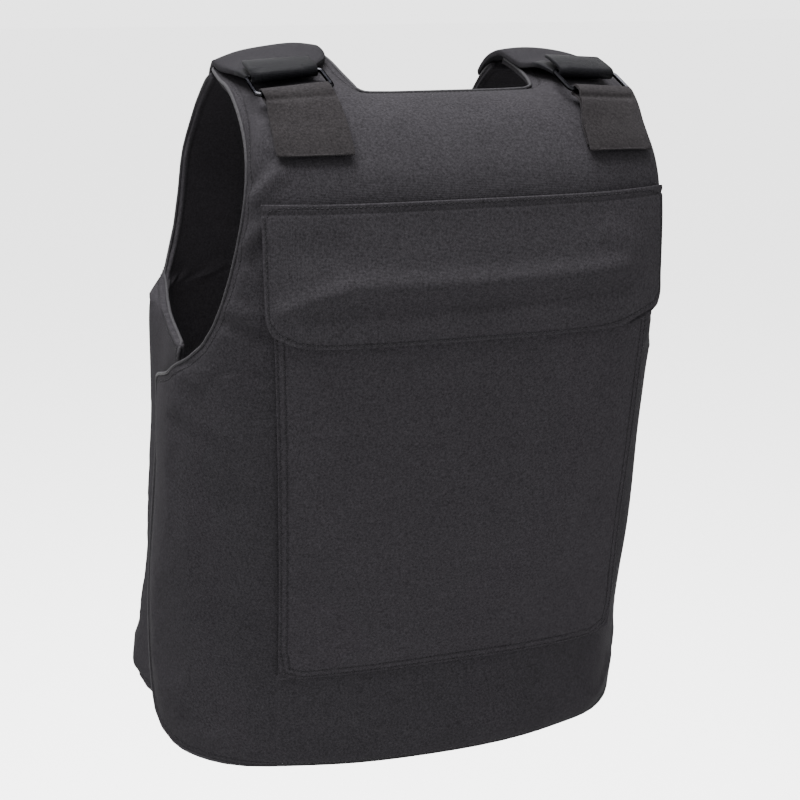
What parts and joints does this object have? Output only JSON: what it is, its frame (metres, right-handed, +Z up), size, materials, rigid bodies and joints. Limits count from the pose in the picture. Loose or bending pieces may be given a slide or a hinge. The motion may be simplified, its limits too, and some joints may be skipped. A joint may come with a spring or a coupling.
{
  "type": "tactical vest",
  "caption": "Padded vest of two panels that wrap the torso, held by shoulder straps through metal buckles, with a wide flapped pocket on the back panel.",
  "frame": {"origin": "midway between the shoulders, at the height of the straps' highest part, where the vest hangs on its wearer", "axes": "+Z up; -Y is the way the back panel with the pocket faces; +X to the right as that panel is faced"},
  "size_m": [0.4403, 0.3152, 0.5597],
  "materials": {
    "back_panel": "woven, matt",
    "front_panel": "woven, matt",
    "back_pocket": "woven, matt",
    "pocket_flap": "woven, matt",
    "left_tab": "fuzzy loop tape, matt",
    "right_tab": "fuzzy loop tape, matt",
    "left_strap": "woven, matt",
    "right_strap": "woven, matt",
    "left_buckle": "satin black",
    "right_buckle": "satin black"
  },
  "bodies": {
    "root": {"back_panel": "back_panel", "front_panel": "front_panel", "back_pocket": "back_pocket", "pocket_flap": "pocket_flap", "left_tab": "left_tab", "right_tab": "right_tab", "left_strap": "left_strap", "right_strap": "right_strap", "left_buckle": "left_buckle", "right_buckle": "right_buckle"}
  },
  "joints": []
}
